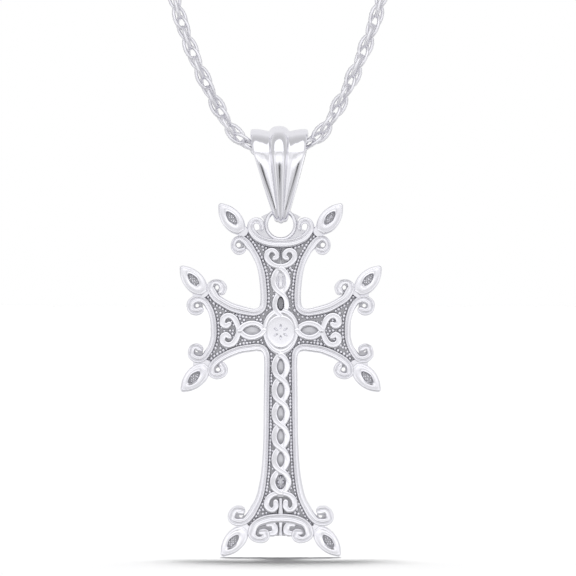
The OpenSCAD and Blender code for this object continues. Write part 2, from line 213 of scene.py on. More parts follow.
# tip of each leaf and its direction in degrees, then its outline: along from the tip, half width
leafTips = [[-6.14, 12.68, -52], [-10.02, 6.44, -49], [-9.94, -6.09, 45], [-5.94, -22.54, 49]]
leafRows = [
    [0.02, 0.08], [0.12, 0.22], [0.3, 0.36], [0.8, 0.7], [1.5, 0.95], [2.2, 1.02], [2.8, 0.93], [3.3, 0.7],
    [3.7, 0.36],
]
leafRecess = {"middle": 1.9, "aside": 0.08, "length": 0.8, "width": 0.39, "depth": 0.5}
# flat corners where a leaf, a scroll and a rim meet: across, up, radius
webs = [
    [-3.8, 9.9, 0.6], [-7.85, 4, 0.8], [-8.3, 3.55, 0.5], [-7.5, -3.5, 0.65], [-8.3, -3.3, 0.45],
    [-7.35, -4, 0.45], [-3.75, -19.65, 0.6], [-3.3, -19.85, 0.45],
]

# floors inside the curls, and the hole through each: across, up, radius
curlFloors = [
    [-4.2, 8.5, 0.55], [-6.4, 4.33, 0.5], [-8.3, 2.42, 0.5], [-8.3, -2.2, 0.5], [-6.32, -3.98, 0.5],
    [-4.2, -18.52, 0.55],
]
curlHoles = [
    [-4.22, 8.54, 0.23], [-6.32, 4.3, 0.22], [-8.35, 2.48, 0.18], [-8.36, -1.98, 0.2],
    [-6.27, -3.9, 0.2], [-3.98, -18.52, 0.2],
]

# profiles across a band, from its outer to its inner edge: share of the half width, height from its top
rimProfile = [
    [-1, -0.34], [-0.94, -0.17], [-0.82, -0.05], [-0.62, -0.01], [-0.35, 0], [-0.08, 0], [0.12, -0.025],
    [0.21, -0.07], [0.3, -0.1], [0.39, -0.07], [0.46, -0.02], [0.58, 0], [0.72, 0.01], [0.84, -0.01],
    [0.92, -0.06], [0.97, -0.16], [1, -0.36],
]
# the same, from the middle to one edge
strandHalf = [
    [0, 0.015], [-0.25, 0.015], [-0.5, 0.01], [-0.75, 0], [-0.88, -0.015], [-0.96, -0.07], [-1, -0.18],
]
stemHalf = [[0, 0], [-0.7, -0.05], [-1, -0.2]]


# one closed solid swept along a band's rows, with round ends
def bandSolid(rows, profile, top, base, spacing, flip=False):
    path = smoothRows(rows, spacing)
    along = tangentsOf(path[:, :2])
    heights = top + (path[:, 3] if path.shape[1] > 3 else np.zeros(len(path)))
    sections = [[*path[i, :3], along[i], heights[i]] for i in range(len(path))]
    for end, sign in ((0, -1), (len(path) - 1, 1)):
        x, z, w = path[end, :3]
        rounded = []
        for angle in crossSizes["endTurns"]:
            out = sign * w * math.sin(angle)
            drop = crossSizes["endDrop"] * (1 - math.cos(angle))
            rounded.append([x + along[end][0] * out, z + along[end][1] * out, w * math.cos(angle),
                            along[end], heights[end] - drop])
        sections = rounded[::-1] + sections if sign < 0 else sections + rounded
    bevel = crossSizes["backBevel"]
    turn = -1 if flip else 1
    points = []
    for x, z, w, t, h in sections:
        inset = max(1 - bevel / max(w, bevel), 0.2)
        ring = [(-inset, base), (-1, base + bevel)] + [(u, h + d) for u, d in profile]
        for u, height in ring + [(1, base + bevel), (inset, base)]:
            points.append(onCross(x + t[1] * u * w * turn, z - t[0] * u * w * turn, height))
    return points, ringFaces(len(sections), len(profile) + 4)


# a solid and its mirror image on the cross's other side
def twice(solid):
    points, faces = solid
    mirrored = [(2 * hang.x - x, y, z) for x, y, z in points]
    return [solid, (mirrored, [tuple(reversed(face)) for face in faces])]


# the discs of a table, each with its mirror image
def onBothSides(discs):
    return [(side * across, up, radius) for across, up, radius in discs for side in (1, -1)]


# rows carried on from the first of them into their mirror image
def bothHalves(rows, mirror=(-1, 1, 1)):
    rows = np.array(rows, float)
    return np.vstack([rows[::-1], rows[1:] * mirror])


def wholeOutline(half):
    return half + [[-x, z] for x, z in half[::-1] if x]


# closed solid from rings of drawing points, each ring at its own height
def ringSolid(rings):
    points = [onCross(x, z, height) for outline, height in rings for x, z in outline]
    return points, ringFaces(len(rings), len(rings[0][0]))


# plate with a little bevel at its back and front edges
def plateSolid(outline, low, high, bevel):
    outline = np.array(outline, float)
    steps = np.roll(outline, -1, axis=0) - np.roll(outline, 1, axis=0)
    steps /= np.linalg.norm(steps, axis=1)[:, None]
    area = np.sum(outline[:, 0] * np.roll(outline[:, 1], -1) - np.roll(outline[:, 0], -1) * outline[:, 1])
    inward = np.column_stack([-steps[:, 1], steps[:, 0]]) * np.sign(area)
    small = outline + inward * bevel
    return ringSolid([(small, low), (outline, low + bevel), (outline, high - bevel), (small, high)])


def turnsAround(count):
    return np.linspace(0, 2 * np.pi, count, endpoint=False)


def circlePoints(radius, count, across=0, up=0):
    turns = turnsAround(count)
    return np.column_stack([across + radius * np.cos(turns), up + radius * np.sin(turns)])


# ring of round wire: its points in its own plane and over it, and its faces
def torusSolid(radius, wire, count, sides):
    points = []
    for a in turnsAround(count):
        for b in turnsAround(sides):
            r = radius + wire * math.cos(b)
            points.append((r * math.cos(a), r * math.sin(a), wire * math.sin(b)))
    return points, ringFaces(count, sides, closed=True)


# leaf with a sunk almond in its middle
def leafSolid(tip):
    across, up, turn = tip
    half = smoothRows(leafRows, 0.12)
    count = len(half)
    outline = np.vstack([half, (half * [1, -1])[::-1]])
    turns = np.concatenate([np.linspace(np.pi, 0, count), np.linspace(0, -np.pi, count + 1)[1:]])
    centre = np.array([leafRecess["middle"], leafRecess["aside"]])
    pointed = 1 - 0.25 * np.abs(np.cos(turns))
    almond = np.column_stack([centre[0] + leafRecess["length"] * np.cos(turns),
                              centre[1] + leafRecess["width"] * np.sin(turns) * pointed])
    top, back, bevel = crossSizes["leafTop"], crossSizes["back"], crossSizes["backBevel"]
    # share of the way from the outline to the recess, and height from the leaf's top
    stations = [[0, -0.2], [0.03, -0.1], [0.08, -0.04], [0.16, -0.005], [0.26, 0], [0.4, -0.015],
                [0.6, -0.03], [0.78, -0.025], [0.9, -0.005], [0.96, 0], [1, -0.03]]
    rings = [(outline + (centre - outline) * bevel, back), (outline, back + bevel)]
    rings += [(outline + (almond - outline) * s, top + d) for s, d in stations]
    floor = ((0.94, 0.12), (0.86, leafRecess["depth"]))
    rings += [(centre + (almond - centre) * s, top - d) for s, d in floor]
    cosine, sine = directionOf(turn)
    spin = np.array([[cosine, sine], [-sine, cosine]])
    return ringSolid([(ring @ spin + [across, up], height) for ring, height in rings])


# two strands of a plait cross at its places and swing out between them; cups are the edge and middle
# heights of the floors in the ovals that they leave open
plaits = {
    "shaft": {"crossings": [-2.45, -4.81, -7.13, -9.45, -11.76, -14.01, -16.26],
              "swings": [0.66, 0.66, 0.66, 0.66, 0.66, 0.8], "width": 0.3, "cups": [(0.16, 0.38)] * 6},
    "top": {"crossings": [6.21, 3.71, 1.45], "swings": [0.74, 0.6], "width": 0.27,
            "cups": [(0.34, 0.46), (0.16, 0.38)]},
    "arm": {"crossings": [-4.1, -1.65], "swings": [0.72], "width": 0.28, "cups": [(0.24, 0.38)]},
    "lift": 0.06,
    "fullness": 0.66,       # under 1 for ovals rounder than a wave
    "cupRoom": 0.1,         # between a cup and the crossing
    "knot": (0.5, 0.4, 0.62, 0.72),         # solid crossing: half sizes, edge and middle heights
    "fork": (0, 7.15, 1, 0.75, 0.26, 0.3),  # under the top's volutes: across and up, then the same
    "deep": (0, 2.68, 0.33, 0.7),           # cut over the boss: across, up, half sizes
    "buds": [[0, -14.66, 0.15, 0.22], [0.23, -15.16, 0.17, 0.26], [0, -15.65, 0.15, 0.22],
             [0.2, 4.95, 0.11, 0.62]],
    "budHeights": (0.34, 0.66),             # of a bud's edge and middle
}
# low stems on the middle line: across, up, half width, then the height of the whole stem
stems = [
    ([[0, 8.3, 0.12], [0, 7.6, 0.09], [0, 6.7, 0.22]], 0.36),
    ([[0, -16.9, 0.22], [0, -17.3, 0.2], [0, -18.3, 0.34]], 0.46),
    ([[0, -19.1, 0.3], [0, -19.6, 0.19], [0, -20.35, 0.19]], 0.66),
]
boss = {
    "halfWidth": 1.83, "halfHeight": 2.4, "middle": -0.12,
    "fieldWidth": 1.44, "fieldHeight": 1.75, "fieldMiddle": -0.15,
    "taper": 0.1,           # narrower at the bottom, wider at the top
    "pits": 6, "pitRing": 0.55, "pitRadius": 0.12, "pitStretch": 1.1,
}
eye = {
    "up": 10.58, "radius": 1.27,
    "bar": 0.21,            # radius of the bar round it
    "plate": 0.12,          # half thickness of the plate round that
    "bevel": 0.05,
    "dark": 0.3,            # patina of the plate
    "outline": [[0, 8.75], [-1.5, 8.85], [-2.3, 9.4], [-2.72, 9.9], [-2.25, 10.08], [-1.8, 10.02],
                [-1.68, 11.1], [-1.98, 11.36], [-1.47, 11.62], [-0.97, 11.84], [0, 11.84]],
}


def plaitRows(plait, side, lift):
    rows = []
    for k, swing in enumerate(plait["swings"]):
        start, end = plait["crossings"][k:k + 2]
        turn = side * (-1) ** k
        for t in np.linspace(0, 1, 9)[(0 if k == 0 else 1):]:
            out = turn * swing * max(math.sin(math.pi * t), 0) ** plaits["fullness"]
            rows.append([out, start + (end - start) * t, plait["width"], turn * lift * math.cos(math.pi * t)])
    return np.array(rows)


def plaitSolids(ornament):
    solids = []
    for name in ("shaft", "top", "arm"):
        for side in (-1, 1):
            rows = plaitRows(plaits[name], side, plaits["lift"])
            if name == "arm":
                solids += twice(bandSolid(rows[:, [1, 0, 2, 3]], *ornament))
            else:
                solids.append(bandSolid(rows, *ornament))
    return solids


# low oval dish or dome: middle, half sizes, edge and middle heights
def cupSolid(across, up, halfAcross, halfUp, rimHeight, floorHeight):
    ring = circlePoints(1, 28) * [halfAcross, halfUp]
    rings = [(ring * 1.02 + [across, up], -0.2)]
    for share in (1.02, 1, 0.9, 0.75, 0.55, 0.35, 0.15, 0.03):
        height = floorHeight + (rimHeight - floorHeight) * min(share, 1) ** 2
        rings.append((ring * share + [across, up], height))
    return ringSolid(rings)


def plaitCups():
    solids = []
    room = plaits["cupRoom"]
    for name in ("shaft", "top"):
        ends = plaits[name]["crossings"]
        for start, end, swing, heights in zip(ends, ends[1:], plaits[name]["swings"], plaits[name]["cups"]):
            solids.append(cupSolid(0, (start + end) / 2, swing, abs(end - start) / 2 - room, *heights))
        solids += [cupSolid(0, crossing, *plaits["knot"]) for crossing in ends]
    arm = plaits["arm"]
    start, end = arm["crossings"]
    for side in (-1, 1):
        middle = side * (start + end) / 2
        solids.append(cupSolid(middle, 0, abs(end - start) / 2 - room, arm["swings"][0], *arm["cups"][0]))
    for across, up, *halves in plaits["buds"]:
        for place in (across, -across) if across else (across,):
            solids.append(cupSolid(place, up, *halves, *plaits["budHeights"]))
    solids.append(cupSolid(*plaits["fork"]))
    return solids


def bossSolid():
    ring = circlePoints(1, 64)
    ring[:, 0] *= 1 + boss["taper"] * ring[:, 1]
    # share of the outer oval, then of the field in it, and height
    outer = [[1, 0], [1, 0.5], [0.99, 0.63], [0.965, 0.7], [0.92, 0.735], [0.87, 0.74], [0.82, 0.735]]
    field = [[1.03, 0.715], [1, 0.69], [0.975, 0.72], [0.95, 0.755], [0.91, 0.775], [0.85, 0.785],
             [0.6, 0.795], [0.4, 0.8], [0.2, 0.802], [0.03, 0.802]]
    rings = []
    for rows, width, height, middle in (
            (outer, boss["halfWidth"], boss["halfHeight"], boss["middle"]),
            (field, boss["fieldWidth"], boss["fieldHeight"], boss["fieldMiddle"])):
        rings += [(ring * [width * s, height * s] + [0, middle], h) for s, h in rows]
    return ringSolid(rings)


# cutter for the deep little oval over the boss
def deepOval():
    across, up, *halves = plaits["deep"]
    ring = circlePoints(1, 28) * halves
    rows = ((0.8, -0.4), (0.95, -0.3), (1, 0), (1, 0.55), (1.1, 1))
    return ringSolid([(ring * s + [across, up], h) for s, h in rows])


def holeCutters():
    rings = [circlePoints(radius, 20, across, up) for across, up, radius in onBothSides(curlHoles)]
    return [ringSolid([(ring, -1.3), (ring, 0.2)]) for ring in rings]


# cutters for a rosette of little drop-shaped pits on the boss
def rosettePits():
    solids = []
    ring = circlePoints(1, 14)
    for k in range(boss["pits"]):
        out = np.array(directionOf(90 + k * 360 / boss["pits"]))
        middle = boss["pitRing"] * out + [0, boss["fieldMiddle"]]
        drop = (ring + np.outer(ring @ out, out) * boss["pitStretch"]) * boss["pitRadius"]
        # share of the drop, height
        rows = ((0.3, 0.5), (0.8, 0.56), (1, 0.8), (1.15, 1.2))
        solids.append(ringSolid([(drop * s + middle, h) for s, h in rows]))
    return solids


def crossSolids():
    s = crossSizes
    rim = (smoothRows(rimProfile, 0.13), s["rimTop"], s["back"], s["step"])
    strand, stem = (bothHalves(half, (-1, 1)) for half in (strandHalf, stemHalf))
    ornament = (strand, s["ornamentTop"], 0, s["ornamentStep"])
    solids = []
    for rows, flip in ((upperRim, False), (lowerRim, True), (endRim, True)):
        solids += twice(bandSolid(rows, *rim, flip=flip))
    for rows in (crestHalf, archHalf):
        solids.append(bandSolid(bothHalves(rows), *rim, flip=True))
    solids += twice(bandSolid(smallCurl, strand, s["curlTop"], s["back"], s["ornamentStep"]))
    for rows in (omegaHalf, lyreHalf):
        solids.append(bandSolid(bothHalves(rows), *ornament))
    solids += twice(bandSolid(bothHalves(armLyreHalf, (1, -1, 1)), *ornament))
    solids += plaitSolids(ornament) + plaitCups()
    for rows, top in stems:
        solids.append(bandSolid(rows, stem, top, 0, 0.15))
    for half in (groundHalf, footHalf):
        solids.append(plateSolid(wholeOutline(half), s["back"], s["groundTop"], 0.01))
    for tip in leafTips:
        solids += twice(leafSolid(tip))
    bevel = s["backBevel"]
    # inset and height of a web's rings
    steps = ((bevel, s["back"]), (0, s["back"] + bevel), (0, s["leafTop"] - 0.2), (0.08, s["leafTop"] - 0.07))
    for across, up, radius in onBothSides(webs):
        rings = [(circlePoints(radius - inset, 28, across, up), height) for inset, height in steps]
        solids.append(ringSolid(rings))
    for across, up, radius in onBothSides(curlFloors):
        disc = circlePoints(radius, 28, across, up)
        solids.append(plateSolid(disc, s["back"] + 0.1, s["groundTop"], 0.02))
    solids.append(bossSolid())
    solids.append(plateSolid(wholeOutline(eye["outline"]), -eye["plate"], eye["plate"], 0.04))
    return solids


# joins solids into one, or cuts them out of one, and gives back a plain mesh
def combine(name, first, others, operation):
    base = makeObject(name + "Base", first)
    group = bpy.data.collections.new(name + "Tools")
    bpy.context.scene.collection.children.link(group)
    for k, (points, faces) in enumerate(others):
        group.objects.link(bpy.data.objects.new(f"{name}Tool{k}", makeMesh(f"{name}Tool{k}", points, faces)))
    step = base.modifiers.new("combine", "BOOLEAN")
    step.operation = operation
    step.operand_type = "COLLECTION"
    step.collection = group
    step.solver = "MANIFOLD"
    depsgraph = bpy.context.evaluated_depsgraph_get()
    result = bpy.data.meshes.new_from_object(base.evaluated_get(depsgraph))
    for tool in list(group.objects):
        bpy.data.meshes.remove(tool.data)
    bpy.data.collections.remove(group)
    bpy.data.objects.remove(base)
    return result


def buildCross():
    solids = crossSolids()
    mesh = combine("casting", makeMesh("castingStart", *solids[0]), solids[1:], "UNION")
    print("cross joined:", len(mesh.vertices), "points")
    plate, bevel = eye["plate"], eye["bevel"]
    # what the eye's hole is wider by, and height
    steps = ((0.3, -1.3), (bevel, -plate), (0, bevel - plate), (0, plate - bevel), (bevel, plate), (0.3, 1.3))
    hole = [(circlePoints(eye["radius"] + grow, 64, 0, eye["up"]), height) for grow, height in steps]
    mesh = combine("bored", mesh, [ringSolid(hole), deepOval()] + holeCutters() + rosettePits(), "DIFFERENCE")
    ring, faces = torusSolid(eye["radius"] + eye["bar"] - 0.01, eye["bar"], 72, 16)
    bar = [onCross(x, eye["up"] + z, height) for x, z, height in ring]
    mesh = combine("barred", mesh, [(bar, faces)], "UNION")
    mesh.set_sharp_from_angle(angle=math.radians(crossSizes["sharp"]))
    return makeObject("crossCasting", mesh)


crossCasting = buildCross()
print("cross casting:", len(crossCasting.data.polygons), "faces")


# which of the drawing's points lie inside an outline, of which the left half is given
def insideOutline(points, half):
    outline = np.array(wholeOutline(half), float)
    inside = np.zeros(len(points), bool)
    x, z = points.T
    for (ax, az), (bx, bz) in zip(outline, np.roll(outline, -1, axis=0)):
        if az != bz:
            inside ^= ((az > z) != (bz > z)) & (x < (bx - ax) * (z - az) / (bz - az) + ax)
    return inside


# places as shares of a leaf's sunk almond, along it and across
def leafRecessPlace(places, tip):
    cosine, sine = directionOf(tip[2])
    x, z = (places - tip[:2]).T
    along, aside = x * cosine + z * sine, z * cosine - x * sine
    return ((along - leafRecess["middle"]) / leafRecess["length"],
            (aside - leafRecess["aside"]) / leafRecess["width"])


# how hollow a mesh is at each of its points: 0 where it is flat or rounded
def creases(mesh, points):
    normals = np.empty(len(mesh.vertices) * 3)
    mesh.vertices.foreach_get("normal", normals)
    normals = normals.reshape(-1, 3)
    ends = np.empty(len(mesh.edges) * 2, np.int32)
    mesh.edges.foreach_get("vertices", ends)
    total, count = np.zeros(len(points)), np.zeros(len(points))
    for here, there in (ends.reshape(-1, 2).T, ends.reshape(-1, 2)[:, ::-1].T):
        step = points[there] - points[here]
        rise = np.sum(step * normals[here], axis=1) / np.maximum(np.linalg.norm(step, axis=1), 1e-9)
        np.add.at(total, here, rise)
        np.add.at(count, here, 1)
    return total / np.maximum(count, 1)


patinaPlaces = {
    "foot": 0.4,            # lighter inside the foot
    "curls": 0.45,          # lighter inside the curls
    "curlEdge": 0.08,       # round a curl's floor
    "creased": 0.25,        # in sharp hollows of the bands
    "hollows": (0.05, 0.2),     # hollowness where that starts, and how much more until it is full
    "lowest": -0.6,         # height under which the casting stays bright
}


# share of the patina at each point of a cast piece: full up to one height, none from another,
# and none outside the rims, the leaves' almonds and the curls
def markSunk(mesh, full=0.22, none=0.5, creased=0.0):
    points = np.empty(len(mesh.vertices) * 3)
    mesh.vertices.foreach_get("co", points)
    points = points.reshape(-1, 3)
    # back from the frame to the cross's drawing
    heights = (hang.y - points[:, 1]) / mm
    places = (points[:, [0, 2]] - [hang.x, hang.z]) / mm + [0, armsDrop]
    foot = insideOutline(places, footHalf)
    inside = insideOutline(places, groundHalf) | foot
    for side in (1, -1):
        for tip in leafTips:
            along, aside = leafRecessPlace(places * [side, 1], tip)
            inside |= along ** 2 + aside ** 2 < 1.02
    curls = np.zeros(len(points), bool)
    for across, up, radius in onBothSides(curlFloors):
        reach = np.hypot(places[:, 0] - across, places[:, 1] - up)
        curls |= reach < radius + patinaPlaces["curlEdge"]
    depth = np.clip((none - heights) / (none - full), 0, 1) * (inside | curls)
    depth *= heights > patinaPlaces["lowest"]
    depth *= 1 - patinaPlaces["foot"] * foot
    depth *= 1 - patinaPlaces["curls"] * curls
    # the low plate round the eye and the outer half of its bar are a little darker too
    plate = insideOutline(places, eye["outline"]) & (heights > -0.1) & (heights < 0.3)
    reach = np.hypot(places[:, 0], places[:, 1] - eye["up"])
    depth = np.maximum(depth, eye["dark"] * plate * (reach > eye["radius"] + eye["bar"]))
    if creased:
        least, over = patinaPlaces["hollows"]
        hollow = np.clip((creases(mesh, points) - least) / over, 0, 1)
        depth = np.maximum(depth, creased * hollow * (heights > 0.1))
    setValues(mesh, "sunk", depth)


markSunk(crossCasting.data, creased=patinaPlaces["creased"])
print("cross marked")


# a node's socket that takes part in Python sums
class Wire:
    def __init__(self, nodes, socket):
        self.nodes = nodes
        self.socket = socket

    # another output of the same node
    def output(self, out):
        return Wire(self.nodes, self.socket.node.outputs[out])

    def sum(self, operation, first, second):
        return self.nodes.add("ShaderNodeMath", {"operation": operation}, {0: first, 1: second})

    def __add__(self, other):
        return self.sum("ADD", self, other)

    def __radd__(self, other):
        return self.sum("ADD", other, self)

    def __sub__(self, other):
        return self.sum("SUBTRACT", self, other)

    def __rsub__(self, other):
        return self.sum("SUBTRACT", other, self)

    def __mul__(self, other):
        return self.sum("MULTIPLY", self, other)

    def __rmul__(self, other):
        return self.sum("MULTIPLY", other, self)


# the nodes of one tree: add() takes a node's type, its settings and its sockets' values or wires
class NodeTree:
    def __init__(self, tree):
        self.tree = tree
        tree.nodes.clear()

    def add(self, kind, settings=None, sockets=None, out=0):
        made = self.tree.nodes.new(kind)
        for key, value in (settings or {}).items():
            setattr(made, key, value)
        for key, value in (sockets or {}).items():
            if isinstance(value, Wire):
                self.tree.links.new(value.socket, made.inputs[key])
            else:
                made.inputs[key].default_value = value
        return Wire(self, made.outputs[out]) if made.outputs else None

    # from the first colour to the second
    def blend(self, share, first, second):
        first, second = (c if isinstance(c, Wire) else (*c, 1) for c in (first, second))
        sockets = {"Factor": share, "A": first, "B": second}
        return self.add("ShaderNodeMix", {"data_type": "RGBA"}, sockets, out="Result")

    # eased from 0 at the low value to 1 at the high one
    def smooth(self, value, low, high):
        return self.add("ShaderNodeMapRange", {"interpolation_type": "SMOOTHSTEP"}, {
            "Value": value, "From Min": low, "From Max": high})


class Finish(NodeTree):
    def __init__(self, name):
        self.material = bpy.data.materials.new(name)
        self.material.use_nodes = True
        super().__init__(self.material.node_tree)

    def close(self, sockets):
        shader = self.add("ShaderNodeBsdfPrincipled", {}, sockets)
        self.add("ShaderNodeOutputMaterial", {}, {"Surface": shader})
        return self.material


# a Geometry Nodes tree with named inputs, each with its value on this piece
class Growth(NodeTree):
    def __init__(self, name, inputs):
        super().__init__(bpy.data.node_groups.new(name, "GeometryNodeTree"))
        face = self.tree.interface
        face.new_socket("Geometry", in_out="INPUT", socket_type="NodeSocketGeometry")
        self.values = {}
        for label, value in inputs.items():
            kind = "NodeSocketInt" if isinstance(value, int) else "NodeSocketFloat"
            self.values[face.new_socket(label, in_out="INPUT", socket_type=kind).identifier] = value
        face.new_socket("Geometry", in_out="OUTPUT", socket_type="NodeSocketGeometry")
        self.start = self.add("NodeGroupInput")

    def given(self, label):
        return self.start.output(label)

    # sets the instances on their points, makes them real and gives them their material
    def close(self, material, sockets):
        placed = self.add("GeometryNodeInstanceOnPoints", {}, sockets)
        real = self.add("GeometryNodeRealizeInstances", {}, {"Geometry": placed})
        coated = self.add("GeometryNodeSetMaterial", {}, {"Geometry": real, "Material": material})
        self.add("NodeGroupOutput", {}, {"Geometry": coated})


# runs a growth on an object and gives back a plain mesh piece under the given name
def grown(name, base, growth):
    step = base.modifiers.new("grow", "NODES")
    step.node_group = growth.tree
    for identifier, value in growth.values.items():
        step[identifier] = value
    depsgraph = bpy.context.evaluated_depsgraph_get()
    mesh = bpy.data.meshes.new_from_object(base.evaluated_get(depsgraph))
    mesh.name = name
    bpy.data.objects.remove(base)
    return makeObject(name, mesh)


silver = {
    "bright": (0.925, 0.92, 0.955),
    "worn": (0.87, 0.865, 0.905),
    # colour of the patina in the cross's hollows, also used for the painted shade under the bail
    "patina": (0.42, 0.42, 0.44),
    "roughness": 0.14,
    "patinaRoughness": 0.42,
    "fullPatina": 0.85,     # share of the sunk attribute (patina on the cross, painted shade under the bail) from which it is full
    "wear": (0.35, 0.7),    # cloud from bright to worn
    "cloudRoughness": 0.07,
    "cloudScale": 260,      # soft changes of polish, per metre
    "grainScale": 5200,     # fine casting grain, per metre
    "grainDepth": 0.000006,
    "bump": 0.35,           # strength of both
}


# polished silver, darkened where the mesh's sunk attribute says: real patina in the cross's hollows, and
# painted shade under the bail's lower bend
def silverFinish(name, roughness=silver["roughness"], grain=1.0):
    f = Finish(name)
    place = f.add("ShaderNodeTexCoord", out="Object")
    cloud = f.add("ShaderNodeTexNoise", {}, {"Vector": place, "Scale": silver["cloudScale"], "Detail": 3.0})
    speck = f.add("ShaderNodeTexNoise", {}, {"Vector": place, "Scale": silver["grainScale"], "Detail": 2.0})
    sunk = f.add("ShaderNodeAttribute", {"attribute_name": "sunk"}, out="Fac")
    soft = f.smooth(sunk, 0, silver["fullPatina"])
    least, most = silver["wear"]
    polish = f.add("ShaderNodeMapRange", {}, {"Value": cloud, "From Min": least, "From Max": most})
    metal = f.blend(polish, silver["bright"], silver["worn"])
    bump = f.add("ShaderNodeBump", {}, {"Strength": silver["bump"] * grain, "Distance": silver["grainDepth"],
                                        "Height": speck + 0.4 * cloud}, out="Normal")
    colour = f.blend(soft * (0.8 + 0.25 * speck), metal, silver["patina"])
    rough = roughness + silver["cloudRoughness"] * cloud + soft * (silver["patinaRoughness"] - roughness)
    return f.close({"Base Color": colour, "Metallic": 1.0, "Roughness": rough, "Normal": bump})


crossCasting.data.materials.clear()
crossCasting.data.materials.append(silverFinish("castSilver"))

pebbles = {
    "spacing": 0.33,        # between neighbours on the ground, in millimetres
    "rowShare": 0.87,       # of the spacing, between two rows
    "scatter": 0.22,        # of the spacing, to all sides
    "closest": 0.86,        # of the spacing, between two that both stay
    "largest": 0.185,       # radius
    "beside": 0.8,          # of it, from a rim's edge to the row beside it
    "overlap": 0.1,         # of a pebble into a band
    "stretch": 0.55,        # height against width
    "sizes": (0.8, 1.1),    # smallest and largest share of the width
    "lift": 0.09,           # of their middles over the ground
    "segments": 8, "rings": 5,
    "recessSpacing": 0.22,
    "recessScatter": 0.25,
    "recessReach": 0.6,     # 1 at the edge of a leaf's almond
    "recessRadius": 0.1,
    "seed": 4,
}


# middle lines and half widths of everything that stands on the ground
def bandPlaces():
    spots = []
    for rows in (upperRim, lowerRim, endRim, crestHalf, archHalf, omegaHalf, lyreHalf, armLyreHalf):
        line = smoothRows(rows, 0.1)[:, :3]
        spots += [line, line * [-1, 1, 1]]
        if rows is armLyreHalf:
            spots += [line * [1, -1, 1], line * [-1, -1, 1]]
    for name in ("shaft", "top", "arm"):
        for side in (-1, 1):
            line = smoothRows(plaitRows(plaits[name], side, 0), 0.1)[:, :3]
            # the ovals inside a plait stay smooth
            for each in (line, line * [0.4, 1, 1]):
                turned = each[:, [1, 0, 2]]
                spots += [turned, turned * [-1, 1, 1]] if name == "arm" else [each]
    for stem in stems[:2]:
        spots.append(smoothRows(stem[0], 0.1))
    # inside the volutes, and the boss
    spots.append(np.array([[0, 7.2, 1.1], [0, 7.6, 1.1], [0, -17.1, 1.2], [0, -17.6, 1.2]]))
    turns = np.linspace(0, 2 * np.pi, 60)
    width, height = boss["halfWidth"] * np.cos(turns) * 0.7, boss["halfHeight"] * np.sin(turns) * 0.7
    spots.append(np.column_stack([width, height, np.full(60, 0.7)]))
    return np.vstack(spots)


# across, up, height and radius of every pebble
def pebblePlaces():
    draw = np.random.default_rng(pebbles["seed"])
    gap, scatter = pebbles["spacing"], pebbles["scatter"]
    grid = []
    for row, up in enumerate(np.arange(-19, 9, gap * pebbles["rowShare"])):
        grid += [[across + gap / 2 * (row % 2), up] for across in np.arange(-7, 7, gap)]
    grid = np.array(grid) + draw.uniform(-scatter, scatter, (len(grid), 2)) * gap
    # a row beside every rim comes first, then loose ones between
    beside = []
    for rows in (upperRim, lowerRim, endRim, crestHalf, archHalf):
        line = smoothRows(rows, gap)
        along = tangentsOf(line[:, :2])
        reach = line[:, 2:3] + pebbles["beside"] * pebbles["largest"]
        out = np.column_stack([-along[:, 1], along[:, 0]]) * reach
        beside += [(line[:, :2] + turn * out) * [side, 1] for turn in (1, -1) for side in (1, -1)]
    grid = np.vstack(beside + [grid])
    bands = bandPlaces()
    free = []
    taken = np.full((1, 2), 99.0)
    height = crossSizes["groundTop"] + pebbles["lift"]
    for place in grid[insideOutline(grid, groundHalf)]:
        clear = np.min(np.hypot(bands[:, 0] - place[0], bands[:, 1] - place[1]) - bands[:, 2])
        if clear > 0 and np.min(np.hypot(*(taken - place).T)) > pebbles["closest"] * gap:
            taken = np.vstack([taken, place])
            free.append([*place, height, min(clear + pebbles["overlap"], pebbles["largest"])])
    gap, scatter = pebbles["recessSpacing"], pebbles["recessScatter"]
    height = crossSizes["leafTop"] - leafRecess["depth"]
    steps = np.arange(-4.5, 4.5, gap)
    for tip in leafTips:
        for side in (1, -1):
            near = np.array([[x, z] for x in steps for z in steps])
            near = near + draw.uniform(-scatter, scatter, near.shape) * gap + tip[:2]
            along, aside = leafRecessPlace(near, tip)
            for across, up in near[along ** 2 + aside ** 2 < pebbles["recessReach"]]:
                free.append([side * across, up, height, pebbles["recessRadius"]])
    return np.array(free)


# scatters a little round pebble on every point of a mesh, each as wide as the point says
def pebbleGrowth(material):
    grow = Growth("pebbleGround", {label: pebbles[label] for label in ("stretch", "seed")})
    ball = grow.add("GeometryNodeMeshUVSphere", {}, {
        "Segments": pebbles["segments"], "Rings": pebbles["rings"], "Radius": 1})
    ball = grow.add("GeometryNodeSetShadeSmooth", {}, {"Geometry": ball})
    width = grow.add("GeometryNodeInputNamedAttribute", {"data_type": "FLOAT"}, {"Name": "width"})
    least, most = pebbles["sizes"]
    width = width * grow.add("FunctionNodeRandomValue", {"data_type": "FLOAT"},
                             {2: least, 3: most, "Seed": grow.given("seed")}, out=1)
    sizes = grow.add("ShaderNodeCombineXYZ", {}, {"X": width, "Y": width * grow.given("stretch"), "Z": width})
    grow.close(material, {"Points": grow.given("Geometry"), "Instance": ball, "Scale": sizes})
    return grow


def buildPebbles():
    places = pebblePlaces()
    mesh = bpy.data.meshes.new("pebbleSpots")
    mesh.from_pydata([onCross(*place[:3]) for place in places], [], [])
    setValues(mesh, "width", places[:, 3] * mm)
    growth = pebbleGrowth(silverFinish("pebbleSilver", roughness=0.2))
    piece = grown("crossPebbles", makeObject("pebbleSpots", mesh), growth)
    markSunk(piece.data, full=0.13, none=0.2)
    print("pebbles:", len(places))
    return piece


crossPebbles = buildPebbles()

